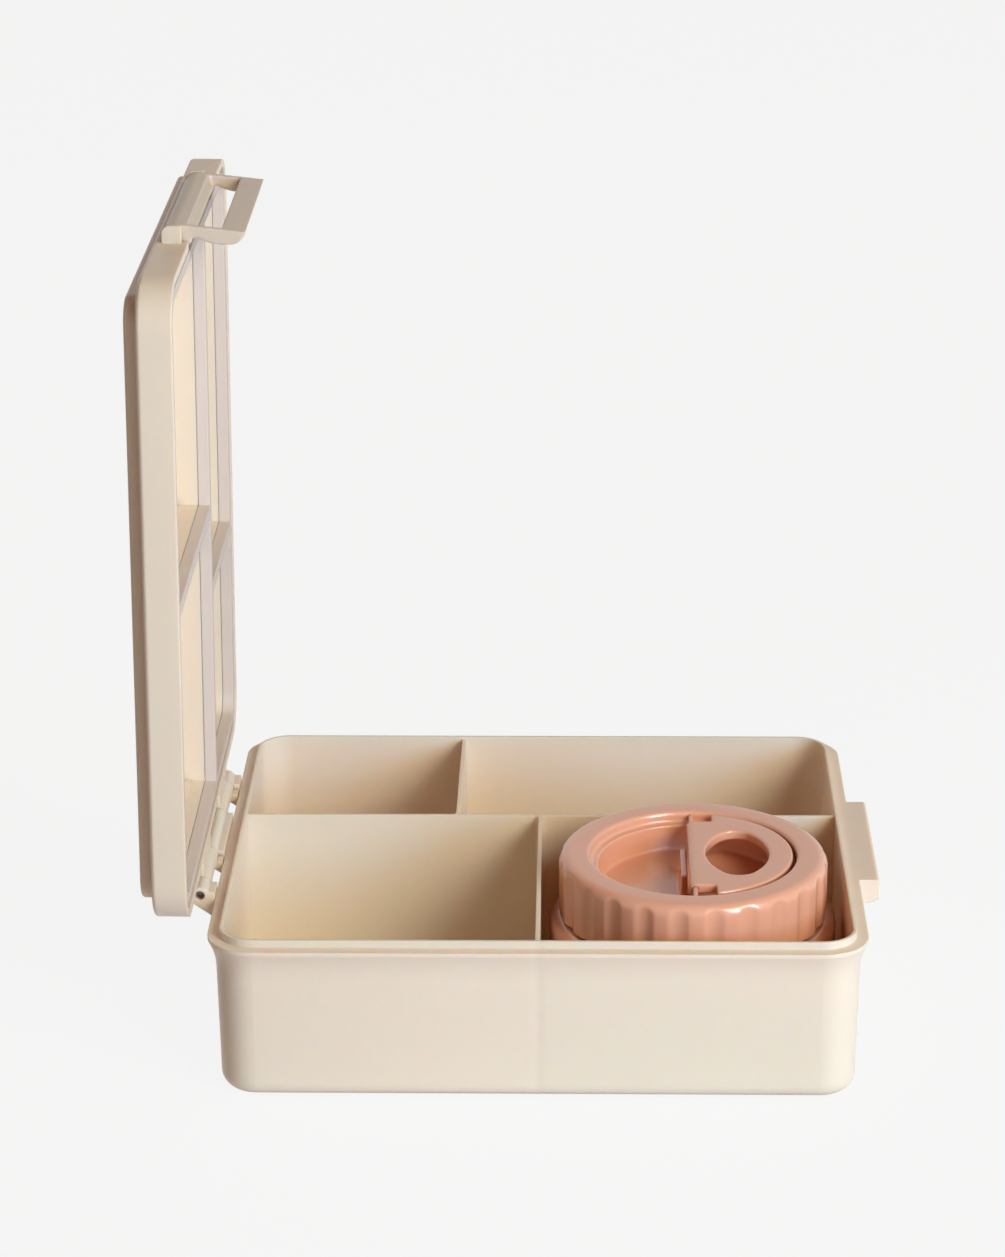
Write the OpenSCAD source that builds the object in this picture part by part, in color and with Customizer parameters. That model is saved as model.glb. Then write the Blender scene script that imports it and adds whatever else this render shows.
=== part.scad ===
// Compartment lunch box with a side-hinged lid, a pivoting latch and a screw-top food jar.
// Frame: +X towards the latch, -X towards the hinge, +Z up. Origin at the centre of the tub's underside.
// The lid is drawn shut, then swung open about the hinge pin.

/* [Tub] */
// Length of the tub inside its lip
inner_l = 199; // [180:0.5:240]
// Depth of the tub inside its lip
inner_d = 171; // [160:0.5:200]
// Height of the tub to the top of its lip
tub_h = 55; // [50:0.5:80]
// Corner radius inside the lip
inner_r = 10; // [7:0.5:16]
// Thickness of the raised lip
lip_t = 1.1; // [0.9:0.1:1.8]
// Height of the lip above the ledge
lip_h = 2.5; // [2:0.1:4]
// Width of the ledge around the lip
ledge_w = 3.8; // [3.2:0.1:6]
// Height of the ledge's outer edge
ledge_t = 1.2; // [1:0.1:2]
// How far the wall stands in from the ledge's edge, under the cove
wall_in = 2.5; // [1.8:0.1:3]
// Height of the cove between wall and ledge
cove_h = 9.5; // [6:0.5:12]
// Draft of the outer wall in degrees
draft = 1; // [0:0.1:1.5]
// Radius of the bottom edge
foot_r = 5.8; // [3:0.2:5.8]
// Thickness of the floor
floor_t = 2; // [1.5:0.1:4]
// Thickness of the dividers
div_t = 1.4; // [1:0.1:2.5]
// How far the dividers stop below the lip
div_drop = 1; // [0.5:0.1:2]
// Place of the long divider along Y
row_y = 16.9; // [12:0.5:22]
// Place of the back cross divider along X
back_x = -28; // [-40:1:30]
// Place of the front cross divider along X
front_x = 0; // [-4:0.5:2]
// Radius along the floor's edge under the outer walls
cell_r = 3; // [1.5:0.5:5]
// Radius where the dividers meet the floor and the walls
div_r = 1.2; // [0.6:0.1:2]

/* [Catch] */
// Half length of the catch along Y
catch_half = 32.7; // [25:0.5:40]
// How far the catch stands out from the ledge
catch_out = 6.7; // [5:0.1:7]
// Height of the catch
catch_h = 8; // [6:0.1:8.4]
// Radius of the catch's long edge
catch_edge = 1.2; // [0.6:0.1:2]

/* [Hinge] */
// Distance from the tub's ledge out to the pin's axis
hinge_out = 4.9; // [4:0.1:6]
// Depth of the pin's axis below the top of the lip
hinge_drop = 1.3; // [0.8:0.1:1.6]
// Radius of the knuckles
barrel_r = 2.8; // [2.5:0.1:3]
// Radius of the hinge pin
pin_r = 1.5; // [1.1:0.1:1.7]
// Radial clearance of each pin in its bore
bore_gap = 0.05; // [0.03:0.01:0.09]
// Half length of the hinge
hinge_half = 49.8; // [42:0.5:60]
// Length of the two end knuckles
end_knuckle = 8.6; // [6:0.2:12]
// Half length of the middle knuckle
mid_half = 16.1; // [10:0.5:20]
// Gap between neighbouring knuckles
knuckle_gap = 0.35; // [0.2:0.05:0.6]
// How far the pin stops inside the near knuckle
pin_recess = 3; // [1:0.5:5]

/* [Lid] */
// Angle the lid stands open from shut
open_angle = 89.4; // [60:0.1:90]
// How far the lid's edge stands in from the tub's ledge
lid_in = 0.8; // [0.6:0.1:1.4]
// Clearance between the shut lid's rim and the tub's ledge
rim_gap = 1.2; // [0.4:0.05:1.4]
// Height of the lid's side wall above the lip
lid_side = 9.6; // [9.4:0.1:12]
// Height of the raised panel
panel_h = 4.2; // [2.5:0.1:5]
// Inset of the raised panel from the lid's edge
panel_in = 5.9; // [5.4:0.1:8]
// Clearance between the lid's wall and the tub's lip
lip_gap = 0.4; // [0.3:0.05:0.6]
// Thickness of the lid's top
lid_t = 2; // [1.6:0.1:2.2]
// Thickness of the lid's ribs
rib_t = 1.4; // [1.2:0.1:2]

/* [Seal] */
// Width of the seal over the lip
seal_w = 4.8; // [4.4:0.1:4.8]
// Width of the seal over the dividers
strip_w = 4; // [3.4:0.1:4.6]
// Height of the seal
seal_h = 3.8; // [3.4:0.1:4.4]
// Depth by which the seal reaches down inside the lip
seal_bite = 1; // [0.6:0.1:1.2]
// Clearance between the seal's rebate and the lip
bite_gap = 0.35; // [0.25:0.05:0.5]
// Thickness of the seal under the ribs
seal_web = 1.4; // [1.2:0.1:1.6]
// Clearance between the shut lid's seal and the tub
seal_gap = 0.1; // [0.05:0.05:0.3]
// Clearance of the seal in its seat
seat_gap = 0.1; // [0.05:0.05:0.15]

/* [Latch] */
// Radius of the latch's head
head_r = 4.6; // [4.2:0.1:4.6]
// Distance from the lid's side out to the latch's pin
latch_out = 0.8; // [0.8:0.1:1.2]
// Height of the latch's pin above the lip
latch_up = 2.4; // [2.4:0.1:3]
// Thickness of the latch's side arms
arm_t = 2.3; // [1.8:0.1:3]
// Clearance between the latch and the parts beside it
latch_gap = 0.35; // [0.3:0.05:0.5]
// Depth of the latch's lower end below the lip
latch_low = 18.8; // [17:0.2:22]
// Depth of the window's lower edge below the lip
window_low = 11.2; // [11:0.1:12]
// Angle by which the latch thins towards its end
latch_taper = 6; // [3:0.5:7]
// Radius of the latch's inner lower edge
tip_r = 4.8; // [2:0.2:5]
// Radius of the latch's pin
latch_pin_r = 0.8; // [0.6:0.05:0.9]
// Thickness of the lid's two ears
ear_t = 2; // [1.6:0.1:3]
// How far the ears stand out from the lid's side
ear_out = 5.4; // [3:0.1:6]
// Height of the ears' lower edge above the lip
ear_z0 = 0.7; // [0:0.1:0.9]
// Height of the ears' upper edge above the lip
ear_z1 = 6.8; // [6:0.1:7.2]
// Radius of the ears' upper outer corner
ear_r = 2.5; // [1:0.1:3]

/* [Jar] */
// Clearance between the jar and the nearest walls of its compartment
jar_gap = 2.7; // [2:0.1:8]
// Height of the jar to its shoulder
jar_h = 40.4; // [30:0.1:44]
// Radius of the shoulder's edge
shoulder_r = 4; // [2:0.5:5]
// Wall of the jar's body
jar_t = 1.6; // [1.2:0.1:2.4]
// How far the neck stands in from the jar's body
neck_in = 7.5; // [7.2:0.1:10]
// Height of the neck above the shoulder
neck_h = 9.4; // [8:0.2:11]
// Wall of the steel liner
liner_t = 0.8; // [0.6:0.1:1.2]
// How far the plug stands in from the neck
liner_in = 3; // [2.8:0.1:4]

/* [Cap] */
// How far the cap stands in from the jar's body
cap_in = 3.1; // [2:0.1:4]
// Height of the cap
cap_h = 20.3; // [19:0.1:22]
// Clearance between the cap and the jar's shoulder
cap_gap = 0.4; // [0.3:0.05:1]
// Radius of the cap's upper edge
cap_edge_r = 3.5; // [2:0.5:4.5]
// Wall of the cap
cap_t = 1.8; // [1.4:0.1:2.4]
// Number of grip flutes
flutes = 24; // [12:1:36]
// Depth of a grip flute
flute_depth = 0.8; // [0.3:0.1:0.9]
// Radius of a grip flute
flute_r = 8; // [4:0.5:10]
// Width of the cap's rim around the recess
rim_w = 10.2; // [9.6:0.1:12]
// Radius of the recess's upper edge
mouth_r = 1.3; // [0.5:0.1:1.5]
// Depth of the recess
recess_h = 12.2; // [10:0.1:12.5]
// Depth of the step that carries the handle
step_drop = 3.6; // [3.5:0.1:5]
// Width of the step
step_w = 2.6; // [2:0.1:4]
// Thickness of the tab in the recess
tab_t = 2.1; // [1.5:0.1:3]
// Half length of the tab
tab_half = 11; // [8:0.5:14]
// Distance from the middle of the cap to the tab
tab_x = 2; // [2:0.1:3]

/* [Handle] */
// Gap between the handle's edge and the recess
handle_gap = 1; // [0.6:0.1:1.5]
// Thickness of the handle
handle_t = 3.4; // [2.8:0.1:3.5]
// Half length of the straight edge, as a share of the handle's radius
lug_share = 0.793; // [0.7:0.001:0.8]
// Width of the lugs along X
lug_w = 8.4; // [6:0.2:12]
// Radius of the handle's pin
handle_pin_r = 0.8; // [0.6:0.05:1]
// Distance from the handle's pin to the middle of the finger hole, as a share of the handle's radius
hole_at_share = 0.441; // [0.4:0.001:0.5]
// Half width of the finger hole, as a share of the handle's radius
hole_x_share = 0.315; // [0.2:0.001:0.33]
// Half length of the finger hole, as a share of the handle's radius
hole_y_share = 0.543; // [0.45:0.001:0.6]

/* [Hidden] */
$fn = 96;
eps = 0.01;

cream = "#ead9c0";
cream_lid = "#efdcc4";
grey_seal = "#d9ccc4";
pink = "#d98f6f";
steel = "#c4c6c8";
white_soft = "#e9e4dc";

lip_l = inner_l + 2 * lip_t;
lip_d = inner_d + 2 * lip_t;
lip_r = inner_r + lip_t;
ledge_l = lip_l + 2 * ledge_w;
ledge_d = lip_d + 2 * ledge_w;
ledge_r = lip_r + ledge_w;
ledge_z = tub_h - lip_h;
wall_top = ledge_z - ledge_t - cove_h;
cove_r = (cove_h * cove_h + wall_in * wall_in) / (2 * wall_in);
draft_in = wall_top * tan(draft);
div_z = tub_h - div_drop;

hinge_x = -ledge_l / 2 - hinge_out;
hinge_z = tub_h - hinge_drop;
bore_r = pin_r + bore_gap;

lid_l = ledge_l - 2 * lid_in;
lid_d = ledge_d - 2 * lid_in;
lid_r = ledge_r - lid_in;
lid_z0 = ledge_z + rim_gap;
lid_z1 = tub_h + lid_side;
lid_z2 = lid_z1 + panel_h;
skirt_r = lip_r + lip_gap;
panel_r = lid_r - panel_in;
corner_x = lid_l / 2 - lid_r;
corner_y = lid_d / 2 - lid_r;
seal_z = tub_h + seal_gap - seal_bite;
strip_z = div_z + seal_gap;
seal_r = skirt_r - 0.2;
rib_r = seal_r - (seal_w - rib_t) / 2;
rib_z = seal_z + seal_web;
shoulder = seal_z + seal_h + seat_gap;
side_z = lid_z1 - lid_t;

latch_x = lid_l / 2 + latch_out;
latch_z = tub_h + latch_up;
latch_half = catch_half + latch_gap + arm_t;
notch_half = latch_half + latch_gap;
notch_z = latch_z + head_r + latch_gap;
hub_r = head_r - 1.6;
arm_x = ledge_l / 2 + latch_gap;
bar_x = ledge_l / 2 - wall_in + 0.8;
swing_r = window_low + latch_up - 0.2;
rest_x = arm_x - 1.8;

jar_x = (front_x + div_t / 2 + inner_l / 2) / 2;
jar_y = (row_y - div_t / 2 - inner_d / 2) / 2;
stand_gap = 0.02;
jar_r = min(inner_l / 2 - front_x - div_t / 2, inner_d / 2 + row_y - div_t / 2) / 2 - jar_gap;
neck_r = jar_r - neck_in;
cap_r = jar_r - cap_in;
recess_r = cap_r - rim_w;
shoulder_z = floor_t + jar_h;
neck_z = shoulder_z + neck_h;
cap_z0 = shoulder_z + cap_gap;
cap_z1 = cap_z0 + cap_h;
recess_z = cap_z1 - recess_h;
step_z = cap_z1 - step_drop;
step_r = recess_r - step_w;
skirt_in = cap_r - cap_t;
rim_z = neck_z + liner_t;
plug_z = rim_z + 1.7;
plug_r = neck_r - liner_in;
fold_z = cap_z1 - handle_t / 2;
handle_r = recess_r - handle_gap;
lug_half = lug_share * handle_r;
hole_at = hole_at_share * handle_r;
hole_x = hole_x_share * handle_r;
hole_y = hole_y_share * handle_r;

// ---- shared shapes ----

// Sweeps a profile round a rounded rectangle: x is the distance out from the corner centre, y the height.
module around(l, d, r) {
    cx = l / 2 - r;
    cy = d / 2 - r;
    for (q = [0:3]) {
        a = q * 90;
        sx = (q == 0 || q == 3) ? 1 : -1;
        sy = q < 2 ? 1 : -1;
        translate([sx * cx, sy * cy, 0]) rotate([0, 0, a]) rotate_extrude(angle = 90) children();
    }
    for (s = [-1, 1]) {
        translate([s * cx, s * cy, 0]) rotate([90, 0, s > 0 ? 0 : 180])
            linear_extrude(2 * cy) children();
        translate([s * cx, -s * cy, 0]) rotate([90, 0, s > 0 ? -90 : 90])
            linear_extrude(2 * cx) children();
    }
}

// Square with its upper outer corner rounded.
module round_top(w, z0, z1, r) {
    translate([0, z0]) square([w, z1 - z0 - r]);
    translate([0, z1 - r - eps]) square([w - r, r + eps]);
    translate([w - r, z1 - r]) circle(r);
}

// Turns a part of the lid from shut to its open place.
module lid_pose() {
    translate([hinge_x, 0, hinge_z]) rotate([0, -open_angle, 0])
        translate([-hinge_x, 0, -hinge_z]) children();
}

module y_rod(x, z, r, y0, y1) {
    translate([x, y1, z]) rotate([90, 0, 0]) cylinder(r = r, h = y1 - y0);
}

// Extrudes a profile drawn in X and Z from y0 to y1.
module y_bar(y0, y1) {
    translate([0, y1, 0]) rotate([90, 0, 0]) linear_extrude(y1 - y0) children();
}

// ---- tub ----

module tub_profile() {
    wt = ledge_r - wall_in;
    wb = wt - draft_in;
    fx = wb - foot_r * (1 - sin(draft)) / cos(draft);
    polygon([[0, 0], [fx, 0], [fx, foot_r], [fx + foot_r * cos(draft), foot_r * (1 - sin(draft))],
        [wt, wall_top], [0, wall_top]]);
    translate([fx, foot_r]) circle(foot_r);
    difference() {
        translate([0, wall_top - eps]) square([ledge_r, cove_h + eps]);
        translate([wt + cove_r, wall_top]) circle(cove_r);
    }
    translate([0, wall_top + cove_h - eps]) square([ledge_r, ledge_t + eps]);
    translate([0, wall_top]) square([lip_r, tub_h - wall_top]);
}

// Profile of a hollow with a floor edge of radius f.
module hollow_profile(r, f) {
    translate([0, floor_t]) square([r - f, tub_h]);
    translate([0, floor_t + f]) square([r, tub_h]);
    translate([r - f, floor_t + f]) circle(f);
}

module hollow(l, d, r, f) {
    around(l, d, r) intersection() {
        hollow_profile(r, f);
        square([r, tub_h + 2]);
    }
    translate([-l / 2 + r, -d / 2 + r, floor_t]) cube([l - 2 * r, d - 2 * r, tub_h + 2 - floor_t]);
}

// One compartment between two X and two Y limits.
module cell(x0, x1, y0, y1) {
    translate([(x0 + x1) / 2, (y0 + y1) / 2, 0]) hollow(x1 - x0, y1 - y0, div_r + 0.3, div_r);
}

module knuckle(y0, y1) {
    y_rod(hinge_x, hinge_z, barrel_r, y0, y1);
    y_bar(y0, y1) translate([hinge_x, hinge_z]) polygon([
        [-barrel_r * 0.8, -barrel_r * 0.6], [-barrel_r * 0.8, -barrel_r],
        [hinge_out + wall_in + 0.5, -3.6 * barrel_r],
        [hinge_out + wall_in + 0.5, -2], [hinge_out, -2], [hinge_out, 0.4 * barrel_r], [0, 0.4 * barrel_r]
    ]);
}

// Block under the ledge that the latch's bar snaps below; its underside follows the bar's swing.
module catch() {
    x0 = ledge_l / 2 - 4;
    x1 = ledge_l / 2 + catch_out;
    y_bar(-catch_half, catch_half) intersection() {
        translate([latch_x, latch_z]) circle(swing_r);
        union() {
            translate([x0, ledge_z - catch_h]) square([x1 - x0 - catch_edge, catch_h]);
            translate([x0, ledge_z - catch_h]) square([x1 - x0, catch_h - catch_edge]);
            translate([x1 - catch_edge, ledge_z - catch_edge]) circle(catch_edge);
        }
    }
}

module base_tub() color(cream) difference() {
    union() {
        around(ledge_l, ledge_d, ledge_r) tub_profile();
        translate([-corner_x, -corner_y, 0]) cube([2 * corner_x, 2 * corner_y, tub_h]);
        knuckle(-hinge_half, end_knuckle - hinge_half);
        knuckle(hinge_half - end_knuckle, hinge_half);
        knuckle(-mid_half, mid_half);
        catch();
    }
    intersection() {
        hollow(inner_l, inner_d, inner_r, cell_r);
        union() {
            far = 8;
            xo = inner_l / 2 + far;
            yo = inner_d / 2 + far;
            h = div_t / 2;
            cell(-xo, back_x - h, row_y + h, yo);
            cell(back_x + h, xo, row_y + h, yo);
            cell(-xo, front_x - h, -yo, row_y - h);
            cell(front_x + h, xo, -yo, row_y - h);
            translate([-xo, -yo, div_z]) cube([2 * xo, 2 * yo, 2 * div_drop]);
        }
    }
    y_rod(hinge_x, hinge_z, bore_r, -hinge_half - 1, hinge_half - 1.2);
}

module hinge_pin() color(steel) y_rod(hinge_x, hinge_z, pin_r, pin_recess - hinge_half, hinge_half - 1.4);

// ---- lid ----

module lid_profile() {
    difference() {
        union() {
            round_top(lid_r, lid_z0, lid_z1, 1.4);
            round_top(panel_r, side_z, lid_z2, 1.4);
        }
        translate([-1, lid_z0 - 1]) square([skirt_r + 1, side_z - lid_z0 + 1]);
        translate([-1, lid_z0]) square([panel_r - lid_t + 1, lid_z2 - lid_t - lid_z0]);
    }
    translate([rib_r - rib_t, rib_z]) square([rib_t, side_z - rib_z + eps]);
    translate([seal_r - seal_w, shoulder]) square([seal_w - (seal_r - rib_r), side_z - shoulder + eps]);
}

// The three divider ribs, w wide, from z0 to z1, ending out from the corner centres.
module ribs(z0, w, z1, out) {
    x = corner_x + out;
    y = corner_y + out;
    translate([-x, row_y - w / 2, z0]) cube([2 * x, w, z1 - z0]);
    translate([back_x - w / 2, row_y, z0]) cube([w, y - row_y, z1 - z0]);
    translate([front_x - w / 2, -y, z0]) cube([w, y + row_y, z1 - z0]);
}

module lid_knuckle(y0, y1) {
    y_rod(hinge_x, hinge_z, barrel_r, y0, y1);
    translate([hinge_x, y0, hinge_z - 0.5]) cube([hinge_out + lid_in + 1.5, y1 - y0, barrel_r + 0.5]);
}

// Heel under a lid knuckle that meets the tub's ledge when the lid is open.
module heel(y1) {
    gap = 0.15;
    translate([hinge_x + bore_r + 0.35, y1 - 5, hinge_z - barrel_r - 0.2])
        cube([hinge_out - bore_r - 0.35 - gap, 5, 2.4]);
}

// One of the two ears that carry the latch's pin.
module ear(y0) {
    x0 = lid_l / 2 - 1.2;
    x1 = lid_l / 2 + ear_out;
    z0 = tub_h + ear_z0;
    z1 = tub_h + ear_z1;
    translate([x0, y0, z0]) cube([x1 - x0, ear_t, z1 - z0 - ear_r]);
    translate([x0, y0, z0]) cube([x1 - x0 - ear_r, ear_t, z1 - z0]);
    y_rod(x1 - ear_r, z1 - ear_r, ear_r, y0, y0 + ear_t);
}

module lid_shell() color(cream_lid) {
    ka = mid_half + knuckle_gap;
    kb = hinge_half - end_knuckle - knuckle_gap;
    lid_pose() difference() {
        union() {
            difference() {
                union() {
                    around(lid_l, lid_d, lid_r) lid_profile();
                    translate([-corner_x, -corner_y, lid_z2 - lid_t])
                        cube([2 * corner_x, 2 * corner_y, lid_t]);
                    ribs(strip_z + seal_web, rib_t, side_z + lid_t / 2, rib_r - rib_t / 2);
                    ribs(shoulder, strip_w, side_z + lid_t / 2, rib_r - rib_t / 2);
                    ribs(side_z, strip_w, lid_z2 - lid_t / 2, panel_r - lid_t / 2);
                }
                translate([corner_x + rib_r, -notch_half, lid_z0 - 1])
                    cube([lid_r, 2 * notch_half, notch_z - lid_z0 + 1]);
            }
            lid_knuckle(ka, kb);
            lid_knuckle(-kb, -ka);
            ear(notch_half);
            ear(-notch_half - ear_t);
        }
        y_rod(hinge_x, hinge_z, bore_r, -hinge_half, hinge_half);
        y_rod(latch_x, latch_z, latch_pin_r + bore_gap, 0.5 - notch_half - ear_t, notch_half + ear_t + 1);
    }
    difference() {
        union() {
            heel(kb);
            heel(-ka);
        }
        y_rod(hinge_x, hinge_z, bore_r, -hinge_half, hinge_half);
    }
}

module lid_seal() color(grey_seal) lid_pose() difference() {
    union() {
        around(lid_l, lid_d, lid_r) translate([seal_r - seal_w, seal_z]) square([seal_w, seal_h]);
        difference() {
            ribs(strip_z, strip_w, strip_z + seal_h, rib_r - rib_t / 2);
            around(lid_l, lid_d, lid_r) translate([seal_r - seal_w / 2, strip_z - 1])
                square([lid_r, 2 * seal_h]);
        }
    }
    around(lid_l, lid_d, lid_r) translate([inner_r - bite_gap, seal_z - 1]) square([lid_r, seal_bite + 1]);
    around(lid_l, lid_d, lid_r) translate([rib_r - rib_t - seat_gap, rib_z - eps])
        square([rib_t + 2 * seat_gap, seal_h]);
    ribs(strip_z + seal_web - eps, rib_t + 2 * seat_gap, strip_z + 2 * seal_h, rib_r - rib_t / 2);
}

// ---- latch ----

function latch_face(dz) = latch_x + head_r / cos(latch_taper) - (latch_up - dz) * tan(latch_taper);

module latch_head(y0, y1) {
    far = 3 * head_r;
    y_rod(latch_x, latch_z, hub_r, y0, y1);
    difference() {
        y_rod(latch_x, latch_z, head_r, y0, y1);
        y_bar(y0 - 1, y1 + 1) translate([latch_x, latch_z]) polygon([[0, 0], [far * cos(66), far * sin(66)],
            [-far, far], [-far, -far], [far * cos(260), far * sin(260)]]);
    }
}

module latch_body(y0, y1) {
    z0 = tip_r - latch_low;
    latch_head(y0, y1);
    y_bar(y0, y1) translate([0, tub_h]) polygon([
        [arm_x, latch_up - 1], [latch_face(latch_up - 1) - 0.02, latch_up - 1], [latch_face(z0), z0],
        [bar_x, z0], [bar_x, -window_low], [bar_x + 0.4, -8.2], [bar_x + 1.1, -6],
        [arm_x, -4.2], [arm_x, -2.1], [rest_x, -2.1], [rest_x, latch_up - 1]]);
    intersection() {
        y_rod(bar_x + tip_r, tub_h + z0, tip_r, y0, y1);
        y_bar(y0 - 1, y1 + 1) translate([0, tub_h]) polygon([[bar_x - 1, z0], [latch_face(z0), z0],
            [latch_face(z0 - 9), z0 - 9], [bar_x - 1, z0 - 9]]);
    }
}

module latch() color(cream_lid) lid_pose() difference() {
    latch_body(-latch_half, latch_half);
    y_bar(arm_t - latch_half, latch_half - arm_t) translate([0, tub_h])
        polygon([[bar_x - 1, -2.1], [arm_x, -2.1], [latch_x + head_r, -0.8], [latch_x + 3 * head_r, -0.8],
            [latch_x + 3 * head_r, -window_low], [bar_x - 1, -window_low]]);
    y_rod(latch_x, latch_z, latch_pin_r + bore_gap, -latch_half - 1, latch_half + 1);
}

module latch_pin() color(steel) lid_pose()
    y_rod(latch_x, latch_z, latch_pin_r, 0.7 - notch_half - ear_t, notch_half + ear_t - 0.4);

// ---- jar ----

module at_jar() {
    translate([jar_x, jar_y, stand_gap]) children();
}

module jar_shell() color(pink) at_jar() rotate_extrude() {
    difference() {
        union() {
            square([jar_r, 1]);
            round_top(jar_r, floor_t, shoulder_z, shoulder_r);
            translate([0, shoulder_z - eps]) square([neck_r, neck_h + eps]);
        }
        translate([-1, -1]) square([jar_r + 9, floor_t + 1]);
        translate([-1, floor_t - 1]) square([jar_r - jar_t + 1, 3.2]);
        translate([-1, floor_t + 1]) square([jar_r - 2 * jar_t + 1, 3]);
        round_top(jar_r - jar_t, floor_t + 3.4, shoulder_z - jar_t, shoulder_r - jar_t);
        translate([-1, floor_t + 1]) square([neck_r - 1.8 + 1, tub_h]);
    }
}

module jar_base() color(pink) at_jar() translate([0, 0, floor_t])
    cylinder(r = jar_r - jar_t - bore_gap, h = 2.2);

module jar_liner() color(steel) at_jar() rotate_extrude() {
    r = neck_r - 1.9;
    z0 = floor_t + 6;
    difference() {
        union() {
            translate([0, z0]) square([r - 4, 10]);
            translate([0, z0 + 4]) square([r, neck_z - z0 - 4 + eps]);
            translate([r - 4, z0 + 4]) circle(4);
            translate([0, neck_z]) square([neck_r - 0.2, liner_t]);
        }
        translate([-9, z0 - 9]) square([9, tub_h]);
        translate([-1, z0 + liner_t]) square([r - 4 + 1, tub_h]);
        translate([-1, z0 + 4]) square([r - liner_t + 1, tub_h]);
        translate([r - 4, z0 + 4]) circle(4 - liner_t);
    }
}

module jar_cap() color(pink) at_jar() difference() {
    union() {
        difference() {
            rotate_extrude() difference() {
                round_top(cap_r, cap_z0, cap_z1, cap_edge_r);
                translate([-1, cap_z0 - 1]) square([skirt_in + 1, plug_z + 1.6 - cap_z0 + 1]);
                translate([-1, plug_z]) square([skirt_in + 1, 1.6 + eps]);
            }
            for (i = [0:flutes - 1]) rotate([0, 0, (i + 0.5) * 360 / flutes])
                translate([cap_r + flute_r - flute_depth, 0, cap_z0 - 1])
                    cylinder(r = flute_r, h = cap_h + 2);
            translate([0, 0, cap_z0]) cylinder(r = step_r, h = cap_h + 1);
        }
        rotate_extrude() translate([0, recess_z - cap_t]) difference() {
            square([step_r + cap_t, step_z - recess_z + cap_t]);
            translate([-1, cap_t]) square([step_r + 1, cap_h]);
        }
        translate([-tab_x - tab_t, -tab_half, recess_z - eps]) cube([tab_t, 2 * tab_half, recess_h]);
    }
    translate([0, 0, step_z]) cylinder(r = recess_r, h = cap_h);
    rotate_extrude() difference() {
        translate([recess_r - 1, cap_z1 - mouth_r]) square([mouth_r + 1, mouth_r + 1]);
        translate([recess_r + mouth_r, cap_z1 - mouth_r]) circle(mouth_r);
    }
    y_rod(0, fold_z, handle_pin_r + bore_gap, -recess_r - 3.5, recess_r + 3.5);
}

module jar_cap_plug() color(white_soft) at_jar() rotate_extrude() difference() {
    union() {
        translate([0, plug_z]) square([skirt_in - bore_gap, 1.6]);
        translate([0, recess_z - cap_t - 2.4]) square([plug_r, plug_z - recess_z + cap_t + 2.4 + eps]);
    }
    translate([-1, recess_z - cap_t - 0.4]) square([plug_r - 1.4 + 1, cap_h]);
}

module jar_cap_seal() color(grey_seal) at_jar() translate([0, 0, rim_z + 0.05]) difference() {
    cylinder(r = neck_r, h = plug_z - rim_z - 0.1);
    translate([0, 0, -1]) cylinder(r = plug_r + 0.1, h = 4);
}

// Four-arc oval with half axes a along X and b along Y.
module oval(a, b, h) {
    r = 0.6 * a;
    big = (a * a + (b - r) * (b - r) - r * r) / (2 * (a - r));
    y1 = (b - r) * big / (big - r);
    intersection() {
        translate([big - a, 0, 0]) cylinder(r = big, h = h);
        translate([a - big, 0, 0]) cylinder(r = big, h = h);
        translate([-a - 1, -y1, 0]) cube([2 * a + 2, 2 * y1, h]);
    }
    for (s = [-1, 1]) translate([0, s * (b - r), 0]) cylinder(r = r, h = h);
}

// Half disc with a rounded back edge on the pin's axis and an oval hole.
module jar_handle() color(pink) at_jar() difference() {
    union() {
        intersection() {
            translate([0, 0, cap_z1 - handle_t]) cylinder(r = handle_r, h = handle_t);
            union() {
                translate([0, -lug_half, 0]) cube([handle_r, 2 * lug_half, 2 * cap_z1]);
                translate([lug_w - 1.7, -handle_r, 0]) cube([handle_r, 2 * handle_r, 2 * cap_z1]);
            }
        }
        y_rod(0, fold_z, handle_t / 2, -lug_half, lug_half);
    }
    translate([hole_at, 0, 0]) oval(hole_x, hole_y, 2 * cap_z1);
    y_rod(0, fold_z, handle_pin_r + bore_gap, -handle_r, handle_r);
}

module jar_handle_pins() color(pink) at_jar() for (s = [-1, 1]) {
    y0 = s > 0 ? lug_half - 8 : -recess_r - 3.3;
    y_rod(0, fold_z, handle_pin_r, y0, y0 + recess_r + 3.3 - lug_half + 8);
}

base_tub();
hinge_pin();
lid_shell();
lid_seal();
latch();
latch_pin();
jar_shell();
jar_base();
jar_liner();
jar_cap();
jar_cap_plug();
jar_cap_seal();
jar_handle();
jar_handle_pins();
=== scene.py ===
import math

import bpy
import bmesh
from mathutils import Matrix, Vector


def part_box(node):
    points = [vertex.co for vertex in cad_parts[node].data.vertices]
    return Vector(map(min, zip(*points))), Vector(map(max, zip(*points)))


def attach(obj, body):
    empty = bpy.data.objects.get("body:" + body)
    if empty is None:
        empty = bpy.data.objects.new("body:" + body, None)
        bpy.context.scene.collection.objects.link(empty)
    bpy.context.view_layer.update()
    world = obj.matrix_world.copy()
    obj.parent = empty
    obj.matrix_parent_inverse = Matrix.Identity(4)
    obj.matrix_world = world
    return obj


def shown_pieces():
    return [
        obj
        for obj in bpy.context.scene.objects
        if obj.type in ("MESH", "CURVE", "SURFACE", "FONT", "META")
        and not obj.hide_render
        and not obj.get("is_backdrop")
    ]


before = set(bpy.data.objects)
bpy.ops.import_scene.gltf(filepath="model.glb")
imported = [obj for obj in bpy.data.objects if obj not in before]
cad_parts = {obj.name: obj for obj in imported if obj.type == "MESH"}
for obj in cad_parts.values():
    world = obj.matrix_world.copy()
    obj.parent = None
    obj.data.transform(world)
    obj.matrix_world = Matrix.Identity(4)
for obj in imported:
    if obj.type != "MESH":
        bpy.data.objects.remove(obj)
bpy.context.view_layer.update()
print("frame loaded")

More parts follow.
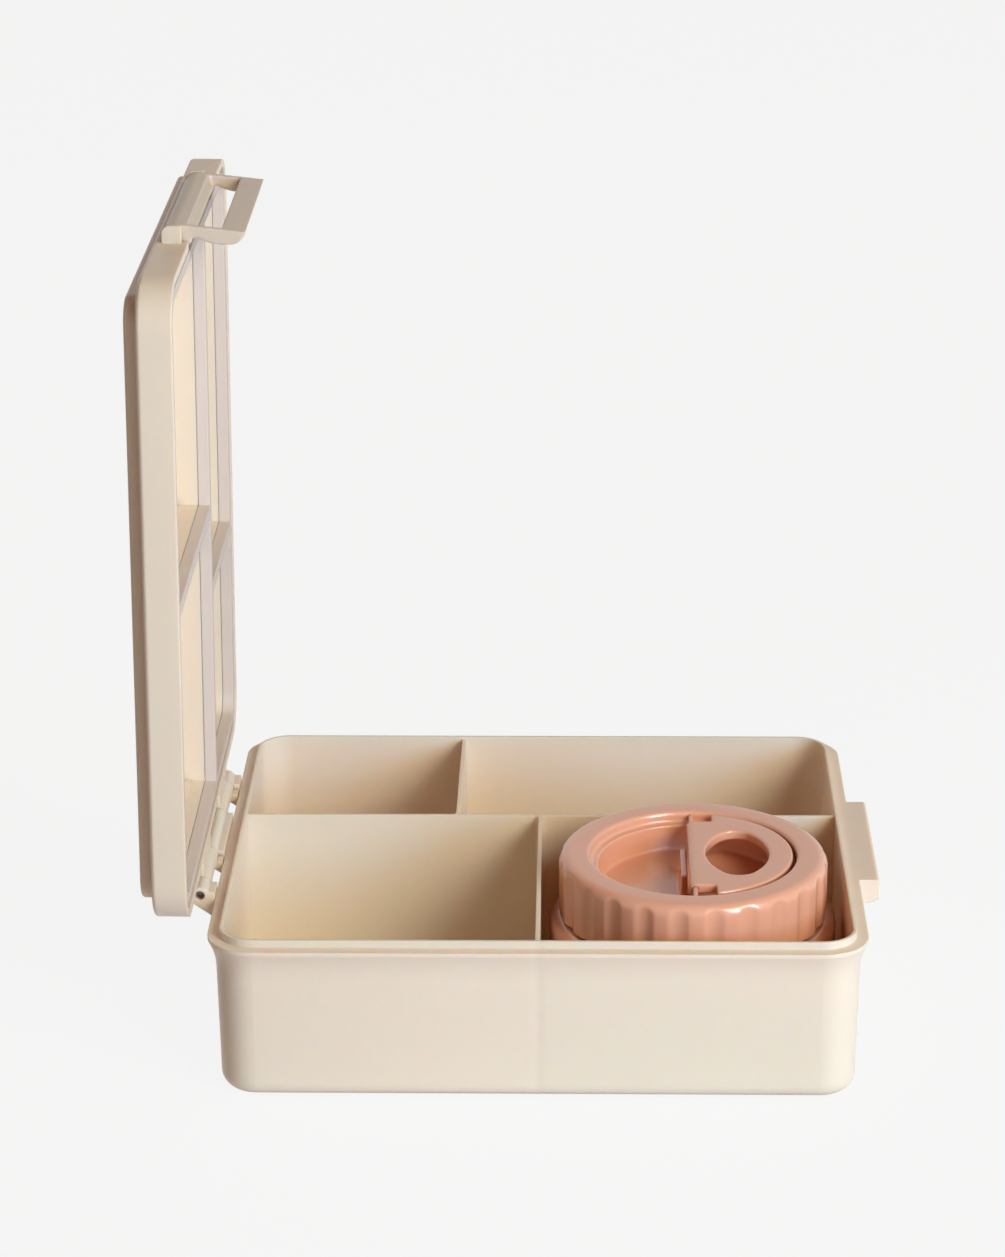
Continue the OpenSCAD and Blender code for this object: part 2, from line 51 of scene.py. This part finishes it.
scene = bpy.context.scene
scene.view_settings.view_transform = "Standard"
mm = 0.001


def linear(hexColour):
    # sRGB hex to the linear values that shaders work in
    parts = [int(hexColour[i:i + 2], 16) / 255 for i in (1, 3, 5)]
    return [c / 12.92 if c <= 0.04045 else ((c + 0.055) / 1.055) ** 2.4 for c in parts] + [1.0]


def addNode(tree, kind, links=None, **settings):
    # adds one node: settings by socket or property name, links as socket name to output
    node = tree.nodes.new(kind)
    for key, value in settings.items():
        name = key.replace("_", " ")
        if name in node.inputs:
            node.inputs[name].default_value = value
        else:
            setattr(node, key, value)
    for name, source in (links or {}).items():
        tree.links.new(source, node.inputs[name])
    return node


def addMath(tree, operation, *operands):
    # adds one sum: each operand is an output or a number
    node = addNode(tree, "ShaderNodeMath", operation=operation)
    for socket, operand in zip(node.inputs, operands):
        if isinstance(operand, bpy.types.NodeSocket):
            tree.links.new(operand, socket)
        else:
            socket.default_value = operand
    return node.outputs[0]


def newMaterial(name):
    mat = bpy.data.materials.new(name)
    mat.use_nodes = True
    mat.node_tree.nodes.clear()
    return mat, mat.node_tree


# the shallow crease that shrinking leaves in an outer wall, in line with the divider behind it
def sinkMark(tree, place, skin, values):
    parts = addNode(tree, "ShaderNodeSeparateXYZ", {"Vector": place}).outputs
    aside = addMath(tree, "ABSOLUTE", addMath(tree, "SUBTRACT", parts["X"], values["x"]))
    dip = addNode(tree, "ShaderNodeMapRange", {"Value": aside}, interpolation_type="SMOOTHSTEP",
                  From_Min=0.0, From_Max=values["half"], To_Min=0.0, To_Max=1.0)
    behind = addMath(tree, "GREATER_THAN", parts["Y"], values["wallY"])
    height = addMath(tree, "MAXIMUM", dip.outputs["Result"], behind)
    return addNode(tree, "ShaderNodeBump", {"Height": height, "Normal": skin.outputs["Normal"]},
                   Strength=1.0, Distance=values["depth"])


# moulded polypropylene: a soft sheen, a faint waxy depth, shallow flow marks from the mould, a fine
# grain, drawn coarse enough to show as a slight break in the highlights, and painted shade: a warm
# brown mixed into the colour in narrow seams and corners, where shade falls
mouldSettings = dict(
    flowScale=14, flowDetail=2, waveMm=26, waveDetail=1, waveDepth=0.02, waveHeightMm=1,
    grainMm=0.6, grainDetail=3, grainDepth=0.05, grainHeightMm=0.1,
    roughness=0.4, smoother=0.03, rougher=0.05, refraction=1.49, coat=0.05, coatRoughness=0.06,
    waxMm=5, waxTint=(1.0, 0.45, 0.2), edgeMm=0.5, rays=8,
    paintedShade=0.8, paintedShadeColour="#8a5428", paintedShadeReachMm=6, paintedShadeShutAt=0.1, paintedShadeOpenAt=0.5)


def mouldedPlastic(name, ownSettings):
    values = {**mouldSettings, **ownSettings}
    mat, tree = newMaterial(name)
    place = addNode(tree, "ShaderNodeTexCoord").outputs["Object"]
    flow = addNode(tree, "ShaderNodeTexNoise", {"Vector": place},
                   Scale=values["flowScale"], Detail=values["flowDetail"])
    tint = addNode(tree, "ShaderNodeMixRGB", {"Fac": flow.outputs["Fac"]},
                   Color1=linear(values["colour"]), Color2=linear(values["flowColour"]))
    # painted shade: ambient occlusion finds narrow seams and corners, and the colour there is mixed
    # towards a warm brown
    occlusion = addNode(tree, "ShaderNodeAmbientOcclusion",
                   samples=values["rays"], Distance=values["paintedShadeReachMm"] * mm)
    paintedShade = addNode(tree, "ShaderNodeMapRange", {"Value": occlusion.outputs["AO"]},
                   From_Min=values["paintedShadeShutAt"], From_Max=values["paintedShadeOpenAt"],
                   To_Min=values["paintedShade"], To_Max=0.0)
    tintWithPaintedShade = addNode(tree, "ShaderNodeMixRGB",
                    {"Fac": paintedShade.outputs["Result"], "Color1": tint.outputs[0]},
                    Color2=linear(values["paintedShadeColour"]))
    grain = addNode(tree, "ShaderNodeTexNoise", {"Vector": place},
                    Scale=1 / (values["grainMm"] * mm), Detail=values["grainDetail"])
    wave = addNode(tree, "ShaderNodeTexNoise", {"Vector": place},
                   Scale=1 / (values["waveMm"] * mm), Detail=values["waveDetail"])
    rounding = addNode(tree, "ShaderNodeBevel", samples=values["rays"], Radius=values["edgeMm"] * mm)
    skin = addNode(tree, "ShaderNodeBump",
                   {"Height": wave.outputs["Fac"], "Normal": rounding.outputs["Normal"]},
                   Strength=values["waveDepth"], Distance=values["waveHeightMm"] * mm)
    if "sinkLine" in values:
        skin = sinkMark(tree, place, skin, values["sinkLine"])
    bump = addNode(tree, "ShaderNodeBump",
                   {"Height": grain.outputs["Fac"], "Normal": skin.outputs["Normal"]},
                   Strength=values["grainDepth"], Distance=values["grainHeightMm"] * mm)
    rough = addNode(tree, "ShaderNodeMapRange", {"Value": grain.outputs["Fac"]},
                    To_Min=values["roughness"] - values["smoother"],
                    To_Max=values["roughness"] + values["rougher"])
    shader = addNode(tree, "ShaderNodeBsdfPrincipled",
                     {"Base Color": tintWithPaintedShade.outputs[0], "Normal": bump.outputs["Normal"],
                      "Roughness": rough.outputs["Result"]},
                     IOR=values["refraction"], Subsurface_Weight=values["depth"],
                     Subsurface_Scale=values["waxMm"] * mm, Subsurface_Radius=values["waxTint"],
                     Coat_Weight=values["coat"], Coat_Roughness=values["coatRoughness"])
    addNode(tree, "ShaderNodeOutputMaterial", {"Surface": shader.outputs[0]})
    return mat


# silicone rubber: matt and cool grey, with a little dust in its skin
def siliconeRubber(name, values):
    mat, tree = newMaterial(name)
    place = addNode(tree, "ShaderNodeTexCoord").outputs["Object"]
    dust = addNode(tree, "ShaderNodeTexNoise", {"Vector": place},
                   Scale=values["dustScale"], Detail=values["dustDetail"])
    tint = addNode(tree, "ShaderNodeMixRGB", {"Fac": dust.outputs["Fac"]},
                   Color1=linear(values["colour"]), Color2=linear(values["dustColour"]))
    rounding = addNode(tree, "ShaderNodeBevel", samples=values["rays"], Radius=values["edgeMm"] * mm)
    shader = addNode(tree, "ShaderNodeBsdfPrincipled",
                     {"Base Color": tint.outputs[0], "Normal": rounding.outputs["Normal"]},
                     Roughness=values["roughness"], IOR=values["refraction"],
                     Subsurface_Weight=values["depth"], Subsurface_Scale=values["waxMm"] * mm)
    addNode(tree, "ShaderNodeOutputMaterial", {"Surface": shader.outputs[0]})
    return mat


# stainless steel: drawn, then brushed round the cup, so that its fine lines run level
steelSettings = dict(lineScale=(60, 60, 4000), lineDepth=0.15, lineHeightMm=0.05,
                     smoother=0.08, rougher=0.1)


def brushedSteel(name, ownSettings):
    values = {**steelSettings, **ownSettings}
    mat, tree = newMaterial(name)
    place = addNode(tree, "ShaderNodeTexCoord").outputs["Object"]
    stretch = addNode(tree, "ShaderNodeMapping", {"Vector": place}, Scale=values["lineScale"])
    lines = addNode(tree, "ShaderNodeTexNoise", {"Vector": stretch.outputs["Vector"]}, Scale=1.0)
    rough = addNode(tree, "ShaderNodeMapRange", {"Value": lines.outputs["Fac"]},
                    To_Min=values["roughness"] - values["smoother"],
                    To_Max=values["roughness"] + values["rougher"])
    bump = addNode(tree, "ShaderNodeBump", {"Height": lines.outputs["Fac"]},
                   Strength=values["lineDepth"], Distance=values["lineHeightMm"] * mm)
    shader = addNode(tree, "ShaderNodeBsdfPrincipled",
                     {"Roughness": rough.outputs["Result"], "Normal": bump.outputs["Normal"]},
                     Base_Color=linear(values["colour"]), Metallic=1.0)
    addNode(tree, "ShaderNodeOutputMaterial", {"Surface": shader.outputs[0]})
    return mat


# the darker brown given with each material below is painted shade for its narrow seams and corners
tubPlastic = mouldedPlastic("tub polypropylene", dict(
    colour="#ebddcb", flowColour="#e8d9c6", roughness=0.42, depth=0.45,
    sinkLine=dict(x=0.0, wallY=-0.0845, half=0.003, depth=0.00012)))
# the lid's colour is the tub's painted a little darker: painted shade for the dimmer light on the
# upright lid
lidPlastic = mouldedPlastic("lid polypropylene", dict(
    colour="#e6d7c4", flowColour="#e3d3be", depth=0.3))
jarPlastic = mouldedPlastic("jar polypropylene", dict(
    colour="#e5a88a", flowColour="#e1a383", grainMm=4, grainDepth=0.004, waveMm=11, waveDepth=0.05,
    roughness=0.24, depth=0.15, coat=0.45, edgeMm=0.4, paintedShade=0.7, paintedShadeColour="#803c20"))
latchPlastic = mouldedPlastic("latch polypropylene", dict(
    colour="#d2c4b3", flowColour="#cec0ae", depth=0.12, edgeMm=0.3))
plugPlastic = mouldedPlastic("plug polypropylene", dict(
    colour="#e9e4dc", flowColour="#e6e0d7", grainMm=0.8, grainDepth=0.08, waveDepth=0.0,
    roughness=0.5, depth=0.1, coat=0.0, edgeMm=0.3, paintedShade=0.5, paintedShadeColour="#8a6a50"))
sealSilicone = siliconeRubber("seal silicone", dict(
    colour="#d6cac1", dustColour="#d0c4bb", dustScale=90, dustDetail=4,
    roughness=0.6, refraction=1.41, depth=0.1, waxMm=2, edgeMm=0.7, rays=8))
linerSteel = brushedSteel("liner stainless steel", dict(colour="#e6e2de", roughness=0.34))
# the pin's steel is painted darker and browner than bare steel: painted shade, standing in for the
# darkness down in the hinge bore
pinSteel = brushedSteel("pin stainless steel", dict(colour="#8f857b", roughness=0.4))
print("materials made")

nodeFinish = {
    "base_tub": tubPlastic, "hinge_pin": pinSteel, "lid_shell": lidPlastic, "lid_seal": sealSilicone,
    "latch": latchPlastic, "latch_pin": pinSteel, "jar_shell": jarPlastic, "jar_base": jarPlastic,
    "jar_liner": linerSteel, "jar_cap": jarPlastic, "jar_cap_plug": plugPlastic,
    "jar_cap_seal": sealSilicone, "jar_handle": jarPlastic, "jar_handle_pins": jarPlastic,
}
for name, mat in nodeFinish.items():
    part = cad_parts[name]
    part.data.materials.clear()
    part.data.materials.append(mat)
print("nodes finished")

# mouldings with visibly rounded edges: cell size in mm of an even grid, and smoothing passes
softEdges = {"jar_handle": (0.35, 28), "latch": (0.4, 6), "jar_cap": (0.6, 3)}
for name, (cellMm, passes) in softEdges.items():
    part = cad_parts[name]
    grid = part.modifiers.new("even grid", "REMESH")
    grid.mode = "VOXEL"
    grid.voxel_size = cellMm * mm
    grid.use_smooth_shade = True
    soften = part.modifiers.new("round the edges", "SMOOTH")
    soften.iterations = passes
print("edges rounded")


def finishPiece(name, bm, mat, body):
    # puts a finished bmesh in the scene, riding on one body
    bmesh.ops.recalc_face_normals(bm, faces=bm.faces)
    mesh = bpy.data.meshes.new(name)
    bm.to_mesh(mesh)
    bm.free()
    mesh.shade_smooth()
    mesh.materials.append(mat)
    piece = bpy.data.objects.new(name, mesh)
    scene.collection.objects.link(piece)
    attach(piece, body)
    return piece


# lengths in metres: each ridge's section is depth by width, with a wider root
threadSettings = dict(
    starts=3, lead=0.012, turns=0.42, steps=60, depth=0.0011, width=0.0019, root=0.0032,
    sunk=0.0003, slope=0.0003, neckOverLiner=0.0002, belowNeckTop=0.0076, aboveCapEdge=0.002)


def makeThread(name, radius, outward, base, body, mat, values):
    # a few short ridges that climb round the jar's axis, each swept by a screw-like spin
    low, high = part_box("jar_liner")
    middle = Vector(((low[0] + high[0]) / 2, (low[1] + high[1]) / 2, 0))
    foot, crest = values["root"] / 2, values["width"] / 2 - values["slope"]
    rootRadius = radius - outward * values["sunk"]  # sunk a little into the wall that carries it
    crestRadius = radius + outward * values["depth"]
    section = [(rootRadius, -foot), (crestRadius, -crest), (crestRadius, crest), (rootRadius, foot)]
    bm = bmesh.new()
    for k in range(values["starts"]):
        ring = [bm.verts.new((x, 0, z + base)) for x, z in section]
        face = bm.faces.new(ring)
        start = Matrix.Rotation(2 * math.pi * k / values["starts"], 3, "Z")
        bmesh.ops.rotate(bm, verts=ring, cent=(0, 0, 0), matrix=start)
        bmesh.ops.spin(bm, geom=[face] + list(face.edges) + ring, cent=(0, 0, 0), axis=(0, 0, 1),
                       dvec=(0, 0, values["lead"] * values["turns"] / values["steps"]),
                       angle=2 * math.pi * values["turns"], steps=values["steps"], use_duplicate=False)
    bmesh.ops.translate(bm, verts=bm.verts, vec=middle)
    return finishPiece(name, bm, mat, body)


linerLow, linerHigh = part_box("jar_liner")
neckRadius = (linerHigh[0] - linerLow[0]) / 2 + threadSettings["neckOverLiner"]
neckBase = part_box("jar_shell")[1][2] - threadSettings["belowNeckTop"]
makeThread("jar_neck_thread", neckRadius, 1, neckBase, "jar", jarPlastic, threadSettings)
plugLow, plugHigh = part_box("jar_cap_plug")
skirtRadius = (plugHigh[0] - plugLow[0]) / 2
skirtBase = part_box("jar_cap")[0][2] + threadSettings["aboveCapEdge"]
makeThread("jar_cap_thread", skirtRadius, -1, skirtBase, "cap", jarPlastic, threadSettings)
print("screw threads made")


def seenDirectly(tree):
    # one where the camera or a reflection sees the surface, none where it lights other things
    ray = addNode(tree, "ShaderNodeLightPath").outputs
    return addMath(tree, "MAXIMUM", ray["Is Camera Ray"], ray["Is Glossy Ray"])


# shadow is the share of the floor's real shading that mixes with its even glow
stageSettings = {"backdrop": "#f5f5f5", "floorPaint": "#f2f2f2", "half": 4.0, "below": 0.0005,
                 "shadow": 0.06, "glow": 1.035}


def makeFloor(values):
    bm = bmesh.new()
    bmesh.ops.create_grid(bm, x_segments=1, y_segments=1, size=values["half"])
    bmesh.ops.translate(bm, verts=bm.verts, vec=(0, 0, -values["below"]))
    mesh = bpy.data.meshes.new("floor")
    bm.to_mesh(mesh)
    bm.free()
    floor = bpy.data.objects.new("floor", mesh)
    scene.collection.objects.link(floor)
    mat, tree = newMaterial("floor paint")
    share = addMath(tree, "MULTIPLY", seenDirectly(tree), 1 - values["shadow"])
    matt = addNode(tree, "ShaderNodeBsdfDiffuse", Color=linear(values["floorPaint"]))
    glow = addNode(tree, "ShaderNodeEmission",
                   Color=linear(values["backdrop"]), Strength=values["glow"])
    mix = addNode(tree, "ShaderNodeMixShader", {0: share, 1: matt.outputs[0], 2: glow.outputs[0]})
    addNode(tree, "ShaderNodeOutputMaterial", {"Surface": mix.outputs[0]})
    mesh.materials.append(mat)
    floor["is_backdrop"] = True


makeFloor(stageSettings)

worldSettings = {"fill": "#ffac68", "strength": 0.1, "wall": stageSettings["backdrop"]}


def makeWorld(values):
    world = bpy.data.worlds.new("studio")
    scene.world = world
    world.use_nodes = True
    tree = world.node_tree
    tree.nodes.clear()
    fill = addNode(tree, "ShaderNodeBackground",
                   Color=linear(values["fill"]), Strength=values["strength"])
    wall = addNode(tree, "ShaderNodeBackground", Color=linear(values["wall"]), Strength=1.0)
    mix = addNode(tree, "ShaderNodeMixShader",
                  {0: seenDirectly(tree), 1: fill.outputs[0], 2: wall.outputs[0]})
    addNode(tree, "ShaderNodeOutputWorld", {"Surface": mix.outputs[0]})


makeWorld(worldSettings)

lampSettings = {
    "warm key, high on the right": dict(at=(1.15, -1.25, 1.15), size=0.9, power=30, colour="#fff8e4"),
    "cool window, low on the right": dict(at=(1.2, -1.45, 0.45), size=0.5, power=20, colour="#a8d0ff"),
    "weak front": dict(at=(0.3, -1.5, 0.3), size=0.6, power=0.8, colour="#ffffff"),
    "weak back": dict(at=(-1.0, 1.25, 0.14), size=0.5, power=9.0, colour="#fff4e6", behind=True),
}
lampTarget = Vector((0, 0, 0.08))


def makeLamp(name, values):
    data = bpy.data.lights.new(name, "AREA")
    data.size = values["size"]
    data.energy = values["power"]
    data.color = linear(values["colour"])[:3]
    lamp = bpy.data.objects.new(name, data)
    scene.collection.objects.link(lamp)
    lamp.location = values["at"]
    aim = lampTarget - lamp.location
    lamp.rotation_euler = aim.to_track_quat("-Z", "Y").to_euler()
    if values.get("behind"):
        # it lights the object's back alone, without a pool of light on the floor or a glare
        lamp.visible_glossy = False
        lamp.light_linking.receiver_collection = bpy.data.collections.new(name)
        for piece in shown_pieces():
            lamp.light_linking.receiver_collection.objects.link(piece)


for name, values in lampSettings.items():
    makeLamp(name, values)

# place in metres, angles in radians, lens and sensor height in mm
cameraSettings = dict(at=(0.01341, -1.14465, 0.5474), pitch=0.3515, yaw=0.0224, roll=0.0055,
                      lens=106.51, sensor=36, farthest=20)


def makeCamera(values):
    data = bpy.data.cameras.new("camera")
    data.sensor_fit = "VERTICAL"
    data.sensor_height = values["sensor"]
    data.lens = values["lens"]
    data.clip_end = values["farthest"]
    p, y, r = values["pitch"], values["yaw"], values["roll"]
    right = Vector((math.cos(y), math.sin(y), 0))
    forward = Vector((-math.sin(y) * math.cos(p), math.cos(y) * math.cos(p), -math.sin(p)))
    up = right.cross(forward)
    rolledRight = math.cos(r) * right - math.sin(r) * up
    rolledUp = math.sin(r) * right + math.cos(r) * up
    turn = Matrix((rolledRight, rolledUp, -forward)).transposed().to_4x4()
    camera = bpy.data.objects.new("camera", data)
    scene.collection.objects.link(camera)
    camera.matrix_world = Matrix.Translation(values["at"]) @ turn
    scene.camera = camera


makeCamera(cameraSettings)
print("stage, lamps and camera set")
